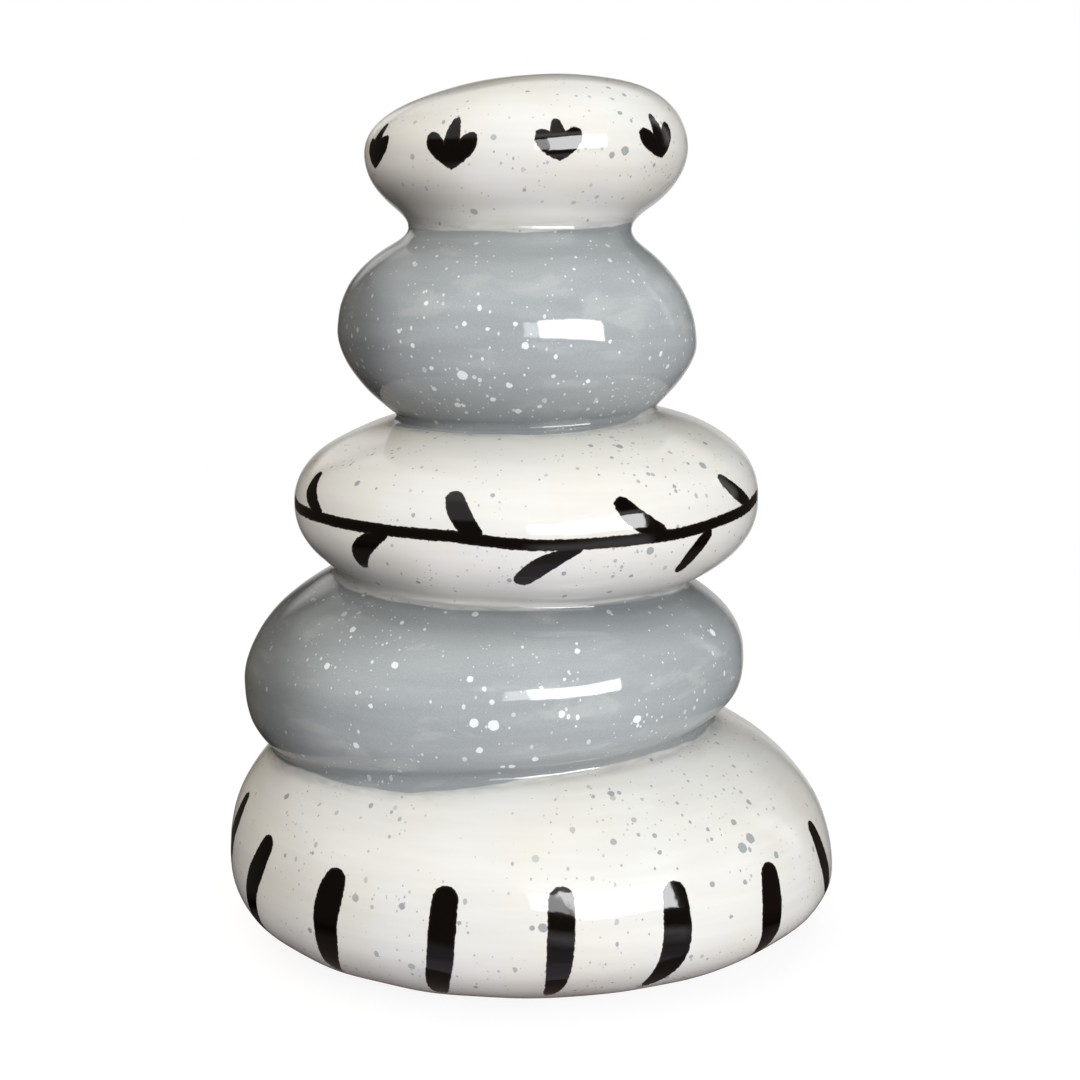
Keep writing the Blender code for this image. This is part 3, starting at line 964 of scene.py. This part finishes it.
# %% Lay the floor
FLOOR_RADIUS = 900  # mm
FLOOR_GLOW, FLOOR_MATTE = 0.82, 0.27  # the white of its own, and the share of a lamp's light it gives back
FLOOR_FADE = (0.18, 0.6)  # m from the axis where it starts to clear, and where it is gone
floor_mesh = bpy.data.meshes.new("floor")
turn = np.linspace(0, 2 * math.pi, 96, endpoint=False)
rim = np.column_stack([np.cos(turn), np.sin(turn), 0 * turn]) * FLOOR_RADIUS * MM
floor_mesh.from_pydata(rim, [], [list(range(len(turn)))])
floor = put("floor", floor_mesh)
floor.visible_diffuse = floor.visible_glossy = False
white_floor = bpy.data.materials.new("plain_white_floor")
tree = empty_tree(white_floor)
place = add(tree, "TexCoord").outputs["Object"]
away = add(tree, "VectorMath", [place], "LENGTH")
clear = add(
    tree, "MapRange", {"Value": away, "From Min": FLOOR_FADE[0], "From Max": FLOOR_FADE[1]},
    interpolation_type="SMOOTHSTEP",
)
matte = add(tree, "BsdfDiffuse", {"Color": (FLOOR_MATTE, FLOOR_MATTE, FLOOR_MATTE, 1)})
glow = add(tree, "Emission", {"Color": (1, 1, 1, 1), "Strength": FLOOR_GLOW})
lit = add(tree, "AddShader", [matte, glow])
gone = add(tree, "BsdfTransparent")
fading = add(tree, "MixShader", [clear, lit, gone])
add(tree, "OutputMaterial", {"Surface": fading})
floor_mesh.materials.append(white_floor)
print("The floor is clear from", FLOOR_FADE[1], "m out")

# %% [markdown]
# ## The lamps
#
# A glazed piece is lit twice: its colour by all the light that falls on it, and its gloss by what it
# mirrors. One wide window in front, on the right, does most of both. It is two lamps, so that each
# part can be set alone: one lights the colour, and the other is only mirrored, with a dim curtain at
# its left end. Three fills stand for the light that the walls send back, warm at the far left.

# %% Hang the lamps
AIM = np.array([0, 0, 120.0])  # mm, the middle of the tower
LAMPS_AWAY = 3.0  # m
LAMPS = (  # name, left, right, low and high in degrees, radiance, colour, mirrored, lights the colour
    ("front_window", 3, 52, 2, 18, 13.3, "#ffffff", False, True),
    ("front_window_pane", 12, 51, -1, 21, 15.5, "#ffffff", True, False),
    ("window_curtain", 2, 12, 1, 18, 6.0, "#ffffff", True, False),
    ("soft_fill", -80, -20, 2, 42, 1.2, "#ffffff", False, True),
    ("far_left_fill", -135, -85, 10, 55, 1.15, "#ffe4bc", False, True),
    ("right_fill", 65, 115, -4, 32, 0.55, "#ffffff", False, True),
)
for name, left, right, low, high, radiance, colour, mirrored, lights_colour in LAMPS:
    turn, rise = math.radians((left + right) / 2), math.radians((low + high) / 2)
    width = 2 * LAMPS_AWAY * math.tan(math.radians(right - left) / 2) * math.cos(rise)
    height = 2 * LAMPS_AWAY * math.tan(math.radians(high - low) / 2)
    data = bpy.data.lights.new(name, "AREA")
    data.shape, data.size, data.size_y = "RECTANGLE", width, height
    data.energy = radiance * math.pi * width * height
    data.color = linear(colour)[:3]
    light = put(name, data)
    way = np.array([math.sin(turn) * math.cos(rise), -math.cos(turn) * math.cos(rise), math.sin(rise)])
    light.location = AIM * MM + way * LAMPS_AWAY
    light.rotation_euler = (math.radians(90) - rise, 0, turn)
    light.visible_glossy, light.visible_diffuse = mirrored, lights_colour
    print(name, "is", round(width, 2), "by", round(height, 2), "m")

# %% [markdown]
# ## The room
#
# The rest of the room is soft-edged patches of the sky ball: a pale ceiling, high walls that are
# palest behind, a dim band at eye level with a door and a cupboard in it, and the faint light that
# the table throws back up. Straight behind everything the eye sees plain white.

# %% Light the room
# A patch: azimuth, half its width, lowest and highest elevation in degrees, its colour, and how bright it
# is, where 1 is white paper. An end at 200 or 100 is out of reach, so the patch doesn't fade there.
ROOM = (
    (0, 200, 58, 100, "#fffffa", 0.93),  # ceiling
    (-25, 50, 24, 58, "#ffffff", 0.6),  # pale wall high in front
    (115, 30, 24, 58, "#ffffff", 0.4),  # high on the right
    (180, 35, 30, 58, "#ffffff", 0.74),  # high behind
    (-110, 35, 24, 58, "#ffffff", 0.36),  # high on the left
    (28, 30, 22, 27, "#ffffff", 1.5),  # glow over the window
    (28, 26, -20, -13, "#fffaff", 1.0),  # the window's glint on the table
    (178, 16, -20, 10, "#ffffff", 0.55),  # wall behind
    (118, 3, 4, 32, "#ffffff", 1.0),  # a door's edge on the right
    (-159, 8, 10, 27, "#ffffff", 0.8),  # a lit cupboard behind the left
    (0, 60, -45, -22, "#f8eeff", 0.3),  # table in front
    (0, 60, -100, -45, "#f6e8ff", 0.5),  # table close by
    (180, 120, -100, -30, "#ffe2d8", 0.11),  # table behind
    (0, 200, -22, 22, "#ffe8d8", 0.05),  # dim room
)
PATCH_FADE = 7  # degrees over which a patch fades at its edges

world = bpy.data.worlds.new("pale_room")
bpy.context.scene.world = world
tree = empty_tree(world)
way = add(tree, "SeparateXYZ", {0: add(tree, "TexCoord").outputs["Generated"]}).outputs
rise = add(tree, "Math", [way["Z"]], "ARCSINE")
towards_us = add(tree, "Math", [way["Y"], -1], "MULTIPLY")
turn = add(tree, "Math", [way["X"], towards_us], "ARCTAN2")
fade = math.radians(PATCH_FADE) / 2
room = (0.0, 0.0, 0.0)
for azimuth, half_width, low, high, colour, radiance in ROOM:
    off = add(tree, "Math", [turn, math.radians(azimuth)], "SUBTRACT")
    off = add(tree, "Math", [off, -math.pi, math.pi], "WRAP")
    off = add(tree, "Math", [off], "ABSOLUTE")
    share = 1.0
    for value, end, side in ((off, half_width, -1), (rise, low, 1), (rise, high, -1)):
        limits = {"From Min": math.radians(end) - side * fade, "From Max": math.radians(end) + side * fade}
        inside = add(tree, "MapRange", {"Value": value, **limits})
        share = add(tree, "Math", [share, inside], "MULTIPLY")
    bright = np.array(linear(colour)[:3]) * radiance
    patch = add(tree, "VectorMath", {0: bright, "Scale": share}, "SCALE")
    room = add(tree, "VectorMath", [room, patch])
room = add(tree, "Background", {"Color": room, "Strength": 1.0})
backdrop = add(tree, "Background", {"Color": (1, 1, 1, 1), "Strength": 1.0})
seen = add(tree, "LightPath").outputs["Is Camera Ray"]
either = add(tree, "MixShader", [seen, room, backdrop])
add(tree, "OutputWorld", {"Surface": either})
bpy.context.scene.view_settings.view_transform = "Standard"
print("The room has", len(ROOM), "patches")

# %% [markdown]
# ## Bring the scene up to date
#
# The dressed piece keeps the CAD model's size, and the last step brings the scene up to date.

# %% Bring the scene up to date
bpy.context.view_layer.update()
